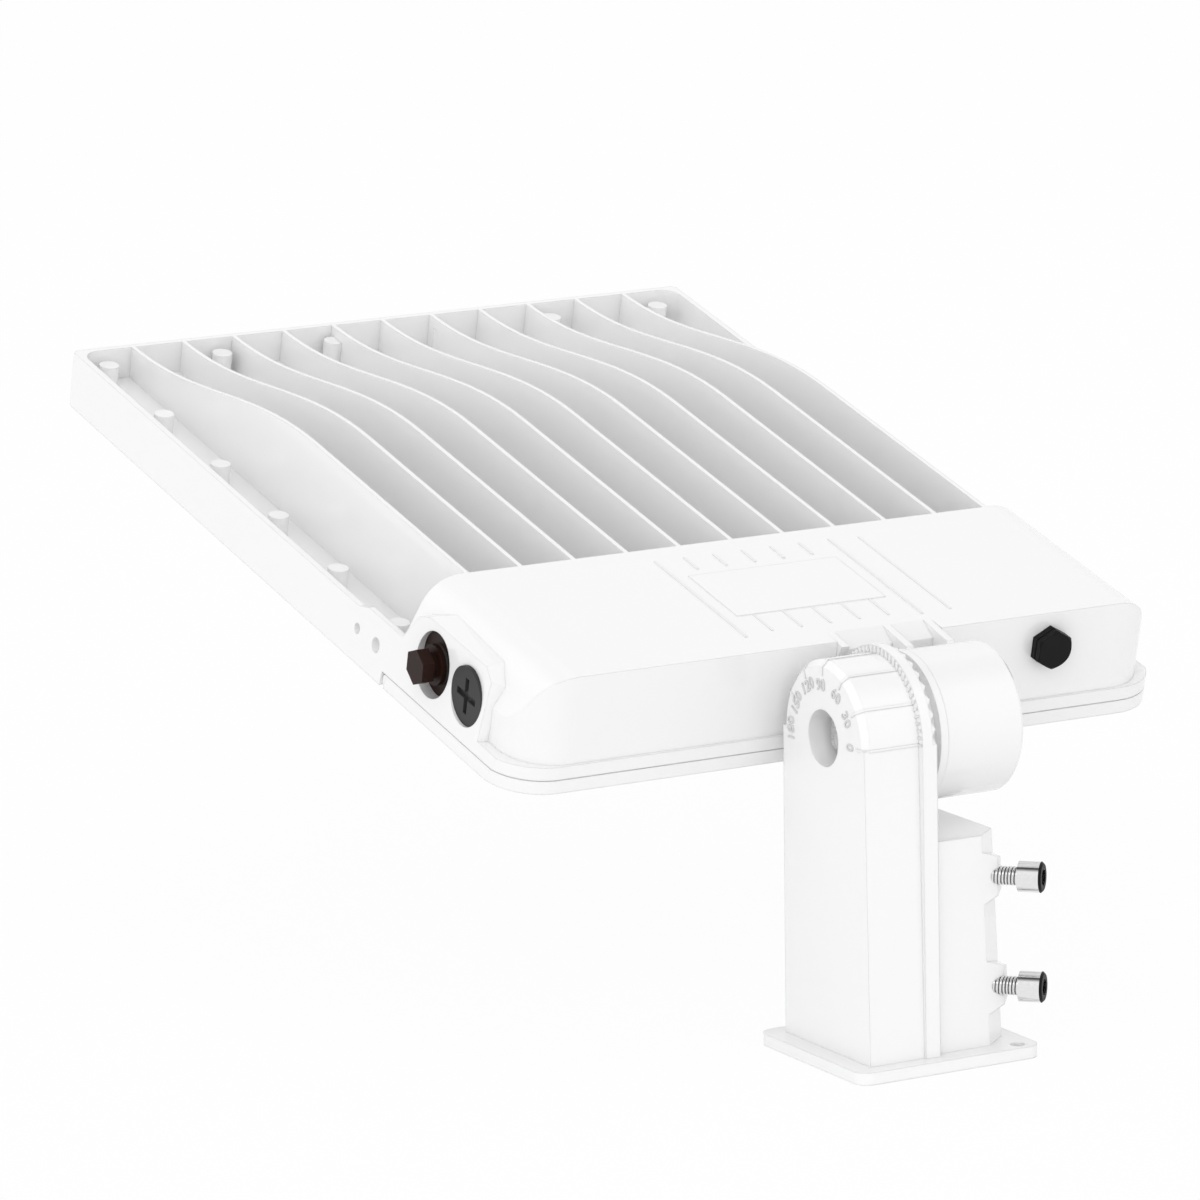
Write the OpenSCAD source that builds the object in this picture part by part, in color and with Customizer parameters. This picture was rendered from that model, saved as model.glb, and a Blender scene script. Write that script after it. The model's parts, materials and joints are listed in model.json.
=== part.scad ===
// Outdoor area light: a flat finned head on a tilting slip-fitter mount.
// The pole tenon comes in from below at the origin, Z is up, and the nose of the head points along +Y.
// The head is drawn level about its tilt axis, then lifted to the axis and tilted.

/* [Tilt] */
// Angle of the head above level, as it is set
tilt_rest = 14.2; // [0:0.2:60]
// Height of the tilt axis above the foot
pivot_h = 148; // [146:1:170]
// Teeth on each clamping ring
tooth_count = 36; // [24:1:48]

/* [Head casting] */
// Width over the side walls at the rim
rim_w = 338; // [334:1:350]
// Tilt axis to the nose wall, outside
nose_y = 506; // [502:1:530]
// Tilt axis to the rear wall of the driver box
rear_y = 41; // [40.5:0.5:43]
// Height of the rim over the tilt axis
rim_z = -5; // [-7:0.5:-3]
// Height of the tray floor over the tilt axis
floor_z = -20.8; // [-21.5:0.1:-20]
// Height of the sole over the tilt axis
sole_z = -30.5; // [-31.5:0.1:-30]
// How far each side spreads from the rim to the sole
side_draft = 3; // [1:0.5:4]
// Thickness of the thin walls
wall = 4; // [3:0.5:4.5]
// Corner radius at the nose
nose_r = 12; // [8:1:16]
// Corner radius at the rear
tail_r = 25; // [20:1:28]

/* [Fins] */
// Number of fins
fin_count = 11; // [5:2:13]
// Side of the rim to the first fin
fin_side_gap = 31.5; // [28:0.5:36]
// Thickness of a fin
fin_t = 2.4; // [1.8:0.2:3.6]
// Length of the rise behind the nose
fin_rise_l = 198; // [150:1:230]
// Flat facets along the rise
fin_steps = 18; // [10:1:30]

/* [Driver box] */
// Height of the box top over the tilt axis
box_z = 25; // [24:0.5:28]
// Tilt axis to the front of the box
box_front_y = 155.5; // [152:0.5:158]
// Radius of the box shoulders
shoulder_r = 20; // [16:0.5:22]
// Lean of the box sides below the shoulders
shoulder_lean = 24; // [20:1:28]
// Radius of the sensor port recess
sensor_port_r = 15.2; // [14:0.1:15.6]
// Radius of the switch port plug
switch_port_r = 13.8; // [12:0.1:14.4]

/* [Screw posts and optics] */
// Side of the rim to the first row of screw posts
post_side_gap = 15.25; // [14:0.25:18]
// Distance between screw posts along the head
post_pitch_y = 62.4; // [60:0.1:63]
// Screw posts in each direction
post_count = 6; // [4:2:6]
// Radius of a screw post
post_r = 5; // [4:0.5:5.5]
// Lens domes in each direction
dome_count = 10; // [6:1:10]
// Radius of a lens dome at its foot
dome_r = 10; // [7:0.5:11]

/* [Drum and arm] */
// Radius of the tilt drum
drum_r = 34; // [32:0.5:35]
// Right end of the drum
drum_x = 46.5; // [44:0.5:48]
// Thickness of the three arm ribs
arm_rib_t = 4; // [3:0.5:5]

/* [Slip fitter] */
// Bore for a 60 mm tenon
tenon_bore_r = 31; // [30.3:0.1:31.5]
// Depth of the tenon bore
tenon_depth = 96; // [80:1:97]
// Left face of the tower
tower_left = 37.5; // [37:0.5:40]
// Right face of the tower
tower_right = 34.6; // [34:0.2:37]
// Half width of the tower at the tilt axis
tower_half = 35; // [34:0.5:36]
// Half width of the tower at the foot
tower_foot_half = 37; // [36.5:0.5:38]
// Length of the foot plate
foot_x = 94.5; // [92:0.5:100]
// Width of the foot plate
foot_y = 91; // [88:0.5:96]
// Thickness of the foot plate
foot_t = 5.7; // [4:0.1:8]
// Radius of the tenon screws
set_screw_r = 4; // [3.5:0.1:4.5]

/* [Hidden] */
$fn = 64;

// One overrun serves every cut, and one gap every pair of faces that must not touch.
over = 1;
seat_gap = 0.3;
run_gap = 0.05;
head_white = "white";
tower_white = "whitesmoke";

// Slip fitter.
plate_left = 9.5;
plate_right = 2;
plate_r = 38.5;
arch_edge = 3;
tooth_h = 2.2;
tooth_in_r = 20;
tooth_land = 0.15;
bolt_r = 6;
bolt_head_af = 18;
bolt_head_t = 7.5;
washer_t = 2;
washer_r = 11.5;
nut_t = 10;
bolt_recess_r = 12.8;
bolt_recess_x = 18.5;
scale_step = 30;
scale_mark_w = 1.2;
scale_mark_h = 0.45;
scale_mark_r = 28.5;
flute_step = 5;
flute_w = 0.9;
flute_t = 0.6;
flute_r = 38;
rail_lap = 1.5;
shelf_drop = 45.6;
clamp_half = 34;
clamp_draft = 5.4;
clamp_chamfer_x = 11.5;
clamp_chamfer_y = 10;
corner_turn = 45;
band_up = 8.2;
band_down = 6.8;
band_slope_up = 3.5;
band_slope_down = 5.5;
band_corner = 4;
band_in = 14;
foot_r = 7;
foot_hole_r = 3.2;
foot_hole_x = 37.8;
foot_hole_y = 39.1;
set_screw_low = 32.4;
set_screw_rise = 50.3;
set_screw_head_r = 7;
set_screw_head_l = 11;
set_screw_head_at = 55.7;
set_screw_l = 24.1;
set_screw_socket_r = 3.6;
socket_depth_share = 0.6;
wire_hole_r = 6;
wire_hole_x = -24;
grommet_lip = 2;
grommet_t = 2;

// Head casting.
floor_t = 3;
parting_z = floor_z - floor_t;
nose_draft = 2;
tray_wall = 3.2;
lip_top_z = -17.5;
lip_y = rear_y - 1.5;
rim_step = 3;
rim_step_y = 186;
rim_step_run = 9.5;
box_half = rim_w / 2 - 3.5;
shoulder_in = 24.5;
box_tail_r = tail_r - 1.5;
post_top_z = -9.8;
post_nose_gap = 10.5;
fin_root = 1;
well_wall = 6;
bar_y = 164.4;
side_hole_z = -15.3;
side_hole_y = 174.4;
side_hole_r = 3.5;
side_pilot_y = 193;
side_pilot_r = 2.5;

// Port pad on the left side of the driver box, and what fills the ports.
pad_inner_x = rim_w / 2 - 19;
pad_crease_x = rim_w / 2 - 13;
pad_crease_z = 18.5;
pad_edge_z = 15;
pad_foot_y = 73;
pad_rear_y = 70.5;
pad_rear_z = 9.5;
pad_back_y = 80;
pad_back_z = 17;
pad_knee_y = 128;
pad_shoulder_y = 143;
pad_shoulder_z = 12.5;
pad_front_y = 154;
pad_front_z = -3;
pad_side_y = 74.6;
pad_slant = 6;
port_face = rim_w / 2 - 0.3;
sensor_port_y = 123.4;
sensor_port_z = -2.5;
switch_port_y = 90.4;
switch_port_z = -3;
port_recess = 5;
port_bore_r = 11;
plug_hex_af = 15;
plug_hex_t = 6;
plug_stand = 9;
plug_neck_r = 6;
plug_thread_r = 7;
plug_travel_room = 12;
slot_l = 17;
slot_w = 3.2;
slot_depth = 2;
oring_t = 1.2;

// Arm.
arm_left = 2.5;
arm_right = 45.3;
arm_top_z = 8;
arm_inner_y = 18;
rib_left = -9.3;
rib_middle = 19.9;
rib_drop = 1;
rib_end_y = 30;
rib_end_run = 3;
rib_end_drop = 4;
guard_end_y = 37;
guard_foot_y = 39.5;
guard_foot_z = 18;
guard_low_z = 16;
notch_front_y = 51;
notch_low_z = 20.5;
liner = 4;
collar_w = 4;
collar_h = 0.6;
drum_edge = 1.5;
drum_web = 11.5;
drum_bore_r = 28;
cap_t = 3;
cap_lip = 1.5;

// Rear vent plug.
vent_x = box_half - 61.5;
vent_z = 9;
vent_af = 17;
vent_layer = 3.2;
vent_waist = 0.6;
vent_thread_r = 6;
vent_l = 14;
vent_nut_t = 4;

// Door under the driver box.
door_top_z = parting_z - seat_gap;
door_skin = 3;
door_rim = 9;
hinge_y = 160.4;
hinge_r = (door_top_z - sole_z) / 2;
hinge_z = sole_z + hinge_r;
hinge_x = rim_w / 2 - 54;
hinge_ear_t = 5;
hinge_ear_at = 9;
hinge_pin_r = 1.5;
hinge_pin_l = 25;
notch_gap = 0.5;
gasket_in = 3.6;
gasket_w = 3;
gasket_t = 1.6;
door_screw_x = rim_w / 2 - 19;
door_screw_y = 52;
door_screw_r = 2;
door_screw_head_r = 4;
door_screw_head_t = 2;
door_screw_grip = 5.5;
door_post_r = 5;
door_post_l = 14;

// Optics under the tray floor.
optic_side = 8;
optic_tail_y = 170.5;
board_t = 1.6;
chip_w = 5;
chip_t = 0.8;
lens_gasket_t = 1;
lens_gasket_w = 5;
lens_t = 2.4;
dome_h = 1.6;
lens_screw_r = 1.9;
lens_screw_head_r = 3.6;
lens_screw_head_t = 1.5;
lens_screw_l = 14;

// What stands inside the driver box.
driver_x = -box_half + 83.5;
driver_l = 164;
driver_y = 80;
driver_w = 60;
driver_h = 32;
driver_ear = 9;
driver_ear_t = 2;
driver_screw_r = 2;
surge_gap = 8;
surge_l = 32;
surge_y = 57;
surge_w = 21;
surge_h = 24;
block_gap = 6.7;
block_l = 46;
block_y = 50;
block_w = 17;
block_h = 18;
block_ways = 5;
knob_r = 6;
knob_t = 4;
switch_l = 16;
switch_w = 22;
bracket_t = 2;
socket_l = 22;

post_rows = [for (i = [0 : post_count - 1]) nose_y - post_nose_gap - i * post_pitch_y];
post_pitch_x = (rim_w - 2 * post_side_gap) / (post_count - 1);
fin_pitch = (rim_w - 2 * fin_side_gap) / (fin_count - 1);
surge_x = arm_right + surge_gap;
block_x = rib_left - block_gap - block_l;
post_columns = [for (i = [0 : post_count - 1]) (i - (post_count - 1) / 2) * post_pitch_x];
optic_front_y = nose_y - tray_wall - 1.5;
optic_half = rim_w / 2 - optic_side;
board_z = parting_z - board_t;
lens_top_z = board_z - lens_gasket_t;
lens_low_z = lens_top_z - lens_t;
roof_z = box_z - wall;
set_screw_heights = [set_screw_low, set_screw_low + set_screw_rise];
drum_shoulder_x = tooth_h + seat_gap + run_gap - plate_right;

function half_at(z) = rim_w / 2 + side_draft * (rim_z - z) / (rim_z - sole_z);
function fin_top(y) = rim_z + (box_z - rim_z) * (1 - cos(180 * min(1, (nose_y - y) / fin_rise_l))) / 2;

// Placing and small shapes.
module in_head() {
    translate([0, 0, pivot_h]) rotate([tilt_rest, 0, 0]) children();
}

module at_pivot() {
    translate([0, 0, pivot_h]) children();
}

// A cylinder along +X that starts at x.
module rod_x(x, length, r) {
    translate([x, 0, 0]) rotate([0, 90, 0]) cylinder(h = length, r = r);
}

module hex_x(x, length, across) {
    translate([x, 0, 0]) rotate([0, 90, 0]) cylinder(h = length, r = across / sqrt(3), $fn = 6);
}

// An outline in Y and Z, drawn out along +X from x.
module side_cut(x, length) {
    translate([x, 0, 0]) rotate([90, 0, 90]) linear_extrude(height = length) children();
}

// An outline in X and Z, drawn out along +Y from y.
module cross_cut(y, length) {
    translate([0, y + length, 0]) rotate([90, 0, 0]) linear_extrude(height = length) children();
}

module slab(z_low, z_high) {
    translate([0, 0, z_low]) linear_extrude(height = z_high - z_low) children();
}

// Teeth of one clamping ring: straight radial ridges and valleys, with their tips facing +Z.
module tooth_ring(r_in, r_out) {
    turns = 2 * tooth_count;
    rim = r_out - 2 * tooth_land;
    points = [for (i = [0 : turns - 1])
        let (a = i * 180 / tooth_count, h = (i % 2 == 0) ? tooth_h - tooth_land : tooth_land)
        each [[r_in * cos(a), r_in * sin(a), -over], [rim * cos(a), rim * sin(a), -over],
            [rim * cos(a), rim * sin(a), h], [r_in * cos(a), r_in * sin(a), h]]];
    faces = [for (i = [0 : turns - 1]) let (a = 4 * i, b = 4 * ((i + 1) % turns))
        each [[a, a + 1, b + 1, b], [a + 1, a + 2, b + 2, b + 1],
            [a + 2, a + 3, b + 2], [a + 3, b + 3, b + 2], [a + 3, a, b, b + 3]]];
    polyhedron(points = points, faces = faces, convexity = 8);
}

// Slip fitter.
module tower_outline(half_top, half_foot, r) {
    translate([0, pivot_h]) circle(r = r);
    polygon([[-half_foot, 0], [half_foot, 0], [half_top, pivot_h], [-half_top, pivot_h]]);
}

function clamp_right(z) = tower_right + clamp_draft * (1 - z / (pivot_h - shelf_drop));

function clamp_points(z) = let (right = clamp_right(z), leg_x = clamp_chamfer_x * right / tower_right,
    leg_y = clamp_chamfer_y * right / tower_right)
    [[-plate_right - over, -clamp_half, z], [right - leg_x, -clamp_half, z], [right, -clamp_half + leg_y, z],
        [right, clamp_half - leg_y, z], [right - leg_x, clamp_half, z], [-plate_right - over, clamp_half, z]];

// The half of the socket that the tenon screws pass through. It widens towards the foot.
module clamp_body() {
    n = 6;
    polyhedron(points = concat(clamp_points(0), clamp_points(pivot_h - shelf_drop)),
        faces = concat([[for (i = [0 : n - 1]) i], [for (i = [0 : n - 1]) 2 * n - 1 - i]],
            [for (i = [0 : n - 1]) let (j = (i + 1) % n) [i, i + n, j + n, j]]));
}

// A full corner that backs each tenon screw, with sloped ends and a small flat square to the screw.
module screw_band(z) {
    low = z - band_down;
    high = z + band_up;
    inner = tower_right - 2 * clamp_chamfer_x;
    flat = (clamp_right(z) + clamp_half - band_corner) * sqrt(1 / 2);
    for (side = [-1, 1]) difference() {
        cross_cut((side < 0) ? -clamp_half : clamp_half - band_in, band_in)
            polygon([[inner, low - band_slope_down], [clamp_right(low) - clamp_chamfer_x, low - band_slope_down],
                [clamp_right(low), low], [clamp_right(high), high],
                [clamp_right(high) - clamp_chamfer_x, high + band_slope_up], [inner, high + band_slope_up]]);
        rotate([0, 0, side * corner_turn]) translate([flat, -band_in, 0]) cube([band_in, 2 * band_in, pivot_h]);
    }
}

module foot_plan() {
    for (x = [-1, 1], y = [-1, 1])
        translate([x * (foot_x / 2 - foot_r), y * (foot_y / 2 - foot_r)]) circle(r = foot_r);
    square([foot_x, foot_y - 2 * foot_r], center = true);
    square([foot_x - 2 * foot_r, foot_y], center = true);
}

module scale_marks() {
    bend = scale_mark_h * tan(45 / 2);
    at_pivot() for (a = [-90 : scale_step : 90]) rotate([a, 0, 0]) cross_cut(-scale_mark_w / 2, scale_mark_w)
        polygon([[-plate_left + over, scale_mark_r], [-tower_left - scale_mark_h, scale_mark_r],
            [-tower_left - scale_mark_h, tower_half - arch_edge + bend],
            [-tower_left + arch_edge - bend, tower_half + scale_mark_h],
            [-plate_left + over, tower_half + scale_mark_h]]);
}

module flutes() {
    at_pivot() for (a = [-90 : flute_step : 90]) rotate([a, 0, 0])
        translate([-plate_left - flute_t, -flute_w / 2, tower_half - over])
            cube([flute_t + over, flute_w, flute_r - tower_half + over]);
}

module slip_fitter() {
    color(tower_white) difference() {
        union() {
            side_cut(-tower_left + arch_edge, tower_left - arch_edge - plate_left + over)
                tower_outline(tower_half - run_gap, tower_foot_half, tower_half);
            side_cut(-tower_left, arch_edge + over)
                polygon([[-tower_foot_half, 0], [tower_foot_half, 0],
                    [tower_half - run_gap, pivot_h], [-tower_half + run_gap, pivot_h]]);
            at_pivot() translate([-tower_left, 0, 0]) rotate([0, 90, 0])
                cylinder(h = arch_edge, r1 = tower_half - arch_edge, r2 = tower_half);
            side_cut(-plate_left, plate_left - plate_right)
                tower_outline(plate_r - run_gap, plate_r - run_gap, plate_r);
            clamp_body();
            for (z = set_screw_heights) screw_band(z);
            slab(0, foot_t) foot_plan();
            scale_marks();
            flutes();
        }
        translate([0, 0, -over]) cylinder(h = tenon_depth + over, r = tenon_bore_r);
        translate([wire_hole_x, 0, 0]) cylinder(h = pivot_h, r = wire_hole_r);
        translate([wire_hole_x, 0, 0]) cylinder(h = tenon_depth + grommet_t, r = wire_hole_r + grommet_lip + run_gap);
        at_pivot() rod_x(-tower_left - over, tower_left - bolt_recess_x + over, bolt_recess_r);
        at_pivot() rod_x(-bolt_recess_x - over, bolt_recess_x + over, bolt_r + run_gap);
        at_pivot() rod_x(-plate_right - tooth_h, tooth_h + over, plate_r + over);
        for (side = [-1, 1], z = set_screw_heights) translate([0, 0, z]) rotate([0, 0, side * corner_turn])
            rod_x(0, foot_x, set_screw_r + run_gap);
        for (side = [-1, 1]) translate([foot_hole_x, side * foot_hole_y, -over])
            cylinder(h = foot_t + 2 * over, r = foot_hole_r);
    }
    color(tower_white) at_pivot() translate([-plate_right - tooth_h, 0, 0]) rotate([0, 90, 0])
        tooth_ring(tooth_in_r, plate_r);
    color(tower_white) tower_face();
}

// The flat of the clamping face, inside and below the tooth ring.
module tower_face() {
    difference() {
        union() {
            at_pivot() rod_x(-plate_right - tooth_h - over, tooth_h + over, tooth_in_r + 2 * tooth_land);
            difference() {
                side_cut(-plate_right - tooth_h - over, tooth_h + over)
                    tower_outline(plate_r - run_gap, plate_r - run_gap, plate_r);
                at_pivot() rod_x(-plate_left, plate_left, plate_r - rail_lap);
                at_pivot() translate([-plate_left, -plate_r - over, 0])
                    cube([plate_left, 2 * (plate_r + over), plate_r + over]);
            }
        }
        at_pivot() rod_x(-plate_left, plate_left, bolt_r + run_gap);
        translate([0, 0, -over]) cylinder(h = tenon_depth + over, r = tenon_bore_r);
    }
}

module wire_grommet() {
    color("dimgray") translate([wire_hole_x, 0, tenon_depth]) difference() {
        union() {
            cylinder(h = grommet_t, r = wire_hole_r + grommet_lip);
            cylinder(h = 3 * grommet_t, r = wire_hole_r - run_gap);
        }
        translate([0, 0, -over]) cylinder(h = 3 * grommet_t + 2 * over, r = wire_hole_r - grommet_lip);
    }
}

module pivot_bolt() {
    color("silver") at_pivot() difference() {
        union() {
            hex_x(-bolt_recess_x - washer_t - bolt_head_t, bolt_head_t, bolt_head_af);
            rod_x(-bolt_recess_x - washer_t, bolt_recess_x + 2 * washer_t + arm_left + drum_web + nut_t + over,
                bolt_r);
        }
        hex_x(-bolt_recess_x - washer_t - bolt_head_t - over, bolt_head_t / 2 + over, bolt_r);
    }
}

module washer_x(x) {
    difference() {
        rod_x(x, washer_t, washer_r);
        rod_x(x - over, washer_t + 2 * over, bolt_r + run_gap);
    }
}

module pivot_head_washer() {
    color("silver") at_pivot() washer_x(-bolt_recess_x - washer_t);
}

module pivot_nut_washer() {
    color("silver") at_pivot() washer_x(arm_left + drum_web + seat_gap);
}

module pivot_nut() {
    start = arm_left + drum_web + seat_gap + washer_t;
    color("silver") at_pivot() difference() {
        hex_x(start, nut_t, bolt_head_af);
        rod_x(start - over, nut_t + 2 * over, bolt_r + run_gap);
    }
}

// One tenon screw: it points at the middle of the tenon through a corner, with a socket head.
module tenon_screw(side, z) {
    color("silver") translate([0, 0, z]) rotate([0, 0, side * corner_turn]) difference() {
        union() {
            rod_x(set_screw_head_at - set_screw_l, set_screw_l + over, set_screw_r);
            rod_x(set_screw_head_at, set_screw_head_l - over, set_screw_head_r);
            translate([set_screw_head_at + set_screw_head_l - over, 0, 0]) rotate([0, 90, 0])
                cylinder(h = over, r1 = set_screw_head_r, r2 = set_screw_head_r - over);
        }
        hex_x(set_screw_head_at + set_screw_head_l * (1 - socket_depth_share), set_screw_head_l,
            2 * set_screw_socket_r);
    }
}

module tenon_screw_rear_upper() {
    tenon_screw(-1, set_screw_heights[1]);
}

module tenon_screw_rear_lower() {
    tenon_screw(-1, set_screw_heights[0]);
}

module tenon_screw_front_upper() {
    tenon_screw(1, set_screw_heights[1]);
}

module tenon_screw_front_lower() {
    tenon_screw(1, set_screw_heights[0]);
}

// Head casting: outlines.
module tail_plan(inset, front_y) {
    half = half_at(sole_z) - inset;
    r = tail_r - inset;
    for (side = [-1, 1]) translate([side * (half - r), lip_y + tail_r]) circle(r = r);
    translate([-half, lip_y + tail_r]) square([2 * half, front_y - lip_y - tail_r]);
    translate([-half + r, lip_y + inset]) square([2 * (half - r), tail_r]);
}

module head_plan(inset) {
    half = half_at(sole_z) - inset;
    front = nose_y + nose_draft - inset;
    r = nose_r - inset / 2;
    tail_plan(inset, front - r);
    for (side = [-1, 1]) translate([side * (half - r), front - r]) circle(r = r);
    translate([-half + r, front - 2 * r]) square([2 * (half - r), 2 * r]);
}

// The drafted sides, seen from the rear.
module side_profile(top_z) {
    polygon([[-half_at(sole_z), sole_z], [half_at(sole_z), sole_z], [half_at(top_z), top_z],
        [-half_at(top_z), top_z]]);
}

// The rim and the drafted nose, seen from the side.
module rim_profile() {
    polygon([[lip_y, sole_z], [nose_y + nose_draft, sole_z], [nose_y, rim_z],
        [rim_step_y + rim_step_run, rim_z], [rim_step_y, rim_z + rim_step], [lip_y, rim_z + rim_step]]);
}

// The driver box, seen from the rear: a flat top, round shoulders and sides that lean in below them.
module box_profile(inset, low_z) {
    half = box_half - inset;
    r = shoulder_r - inset;
    x = box_half - shoulder_in;
    z = box_z - shoulder_r;
    side_x = r * cos(shoulder_lean);
    side_z = r * sin(shoulder_lean);
    knee_z = z + (r - (half - x) * cos(shoulder_lean)) / sin(shoulder_lean);
    for (side = [-1, 1]) translate([side * x, z]) circle(r = r);
    polygon([[-half, low_z], [half, low_z], [half, knee_z], [x + side_x, z + side_z], [x, z], [x, z + r],
        [-x, z + r], [-x, z], [-x - side_x, z + side_z], [-half, knee_z]]);
}

module box_plan(inset, front_y) {
    half = box_half - inset;
    r = box_tail_r - inset;
    for (side = [-1, 1]) translate([side * (half - r), rear_y + box_tail_r]) circle(r = r);
    translate([-half, rear_y + box_tail_r]) square([2 * half, front_y - rear_y - box_tail_r]);
    translate([-half + r, rear_y + inset]) square([2 * (half - r), box_tail_r]);
}

module well_plan() {
    half = rim_w / 2 - tray_wall;
    r = nose_r - tray_wall;
    front = nose_y - tray_wall;
    translate([-half, box_front_y - wall]) square([2 * half, front - r - box_front_y + wall]);
    for (side = [-1, 1]) translate([side * (half - r), front - r]) circle(r = r);
    translate([-half + r, front - 2 * r]) square([2 * (half - r), 2 * r]);
}

module optic_plan(inset) {
    translate([-optic_half + inset, optic_tail_y + inset])
        square([2 * (optic_half - inset), optic_front_y - optic_tail_y - 2 * inset]);
}

// The open tray with its lip, without fins.
module tray() {
    difference() {
        intersection() {
            slab(sole_z, rim_z + rim_step) head_plan(0);
            cross_cut(lip_y - over, nose_y) side_profile(rim_z + rim_step);
            side_cut(-rim_w, 2 * rim_w) rim_profile();
        }
        slab(floor_z, box_z) well_plan();
        translate([-rim_w, lip_y - over, sole_z - over])
            cube([2 * rim_w, bar_y - lip_y + over, parting_z - sole_z + over]);
        translate([-rim_w, lip_y - over, lip_top_z])
            cube([2 * rim_w, box_front_y - wall - lip_y + over, box_z]);
        slab(sole_z - over, parting_z) optic_plan(0);
    }
}

module driver_box() {
    difference() {
        intersection() {
            cross_cut(rear_y, box_front_y - rear_y) box_profile(0, parting_z);
            slab(parting_z, box_z) box_plan(0, box_front_y);
        }
        difference() {
            box_room();
            translate([rib_left - liner, rear_y, notch_low_z - liner])
                cube([arm_right - rib_left + 2 * liner, notch_front_y + liner - rear_y, box_z]);
        }
    }
}

// The room inside the driver box.
module box_room() {
    intersection() {
        cross_cut(rear_y + wall, box_front_y - rear_y - 2 * wall) box_profile(wall, parting_z - over);
        slab(parting_z - over, box_z) box_plan(wall, box_front_y - wall);
    }
}

module fins() {
    steps = [for (i = [0 : fin_steps]) nose_y - fin_rise_l * i / fin_steps];
    for (i = [0 : fin_count - 1])
        side_cut((i - (fin_count - 1) / 2) * fin_pitch - fin_t / 2, fin_t)
            polygon([[box_front_y - fin_root, floor_z - fin_root], [nose_y - fin_root, floor_z - fin_root],
                [nose_y - fin_root, rim_z], for (y = steps) if (y < nose_y - fin_root) [y, fin_top(y)],
                [box_front_y - fin_root, box_z]]);
}

module posts() {
    for (x = post_columns, y = post_rows) translate([x, y, floor_z - fin_root])
        cylinder(h = post_top_z - floor_z + fin_root, r = post_r);
}

// The flat pad that squares off the left side for the two ports, with a sloped top and back.
module port_pad() {
    out = rim_w / 2 + side_draft;
    intersection() {
        side_cut(-out, out - pad_inner_x)
            polygon([[pad_foot_y, lip_top_z - over], [pad_rear_y, pad_rear_z], [pad_back_y, pad_back_z],
                [pad_knee_y, pad_crease_z], [pad_shoulder_y, pad_shoulder_z], [pad_front_y, pad_front_z],
                [pad_front_y, lip_top_z - over]]);
        cross_cut(lip_y, box_front_y) polygon([[-out, lip_top_z - over], [-out, pad_edge_z],
            [-pad_crease_x, pad_crease_z], [0, pad_crease_z], [0, lip_top_z - over]]);
        cross_cut(lip_y, box_front_y) side_profile(box_z);
        slab(sole_z, box_z) polygon([[-out, pad_side_y], [-pad_crease_x, pad_side_y - pad_slant],
            [0, pad_side_y - pad_slant], [0, box_front_y], [-out, box_front_y]]);
    }
}

module arm_block() {
    translate([arm_left, arm_inner_y, lip_top_z])
        cube([arm_right - arm_left, rear_y + fin_root - arm_inner_y, arm_top_z - lip_top_z]);
}

// Two ribs run onto the drum. The left one stops short of the tower's clamping plate.
module arm_ribs() {
    for (x = [rib_middle, arm_right - arm_rib_t]) side_cut(x, arm_rib_t)
        polygon([[arm_inner_y, lip_top_z + over], [rear_y + fin_root, lip_top_z + over],
            [rear_y + fin_root, notch_low_z], [notch_front_y + over, box_z - over], [notch_front_y + over, box_z],
            [notch_front_y, box_z], [rib_end_y, box_z - rib_drop],
            [rib_end_y - rib_end_run, box_z - rib_drop - rib_end_drop], [arm_inner_y, box_z - rib_drop - rib_end_drop]]);
    side_cut(rib_left, arm_rib_t)
        polygon([[rear_y + fin_root, guard_low_z], [rear_y + fin_root, notch_low_z], [notch_front_y + over, box_z - over],
            [notch_front_y + over, box_z], [notch_front_y, box_z], [guard_end_y, box_z - rib_drop],
            [guard_foot_y, guard_foot_z]]);
}

// The rear edge of the box is cut back where the ribs run onto it.
module arm_notch() {
    side_cut(rib_left, arm_right - rib_left)
        polygon([[rear_y - over, notch_low_z], [rear_y, notch_low_z], [notch_front_y, box_z],
            [notch_front_y, box_z + over], [rear_y - over, box_z + over]]);
}

module drum() {
    rod_x(arm_left, drum_x - arm_left - drum_edge, drum_r);
    rod_x(arm_left, collar_w, drum_r + collar_h);
    translate([drum_x - drum_edge, 0, 0]) rotate([0, 90, 0])
        cylinder(h = drum_edge, r1 = drum_r, r2 = drum_r - drum_edge);
    rod_x(drum_shoulder_x, arm_left + over - drum_shoulder_x, drum_r - collar_w);
    rod_x(drum_shoulder_x - tooth_h, tooth_h + over, tooth_in_r + 2 * tooth_land);
}

module head_casting() {
    color(head_white) in_head() {
        difference() {
            union() {
                difference() {
                    union() {
                        tray();
                        driver_box();
                        port_pad();
                        arm_block();
                    }
                    arm_notch();
                    slab(parting_z - over, lip_top_z + over) box_plan(2 * wall, box_front_y - 2 * wall);
                }
                fins();
                posts();
                arm_ribs();
                drum();
                door_posts();
                hinge_ears();
            }
            casting_holes();
        }
        translate([drum_shoulder_x, 0, 0]) rotate([0, -90, 0]) tooth_ring(tooth_in_r, drum_r - collar_w);
    }
}

module door_posts() {
    for (side = [-1, 1]) translate([side * door_screw_x, door_screw_y, parting_z])
        cylinder(h = door_post_l, r = door_post_r);
}

module hinge_ears() {
    for (side = [-1, 1], ear = [-1, 1])
        translate([side * hinge_x + ear * hinge_ear_at - hinge_ear_t / 2, hinge_y, hinge_z]) {
            rod_x(0, hinge_ear_t, hinge_r - seat_gap);
            translate([0, -hinge_r + seat_gap, 0])
                cube([hinge_ear_t, 2 * (hinge_r - seat_gap), parting_z - hinge_z + fin_root]);
        }
}

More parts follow.
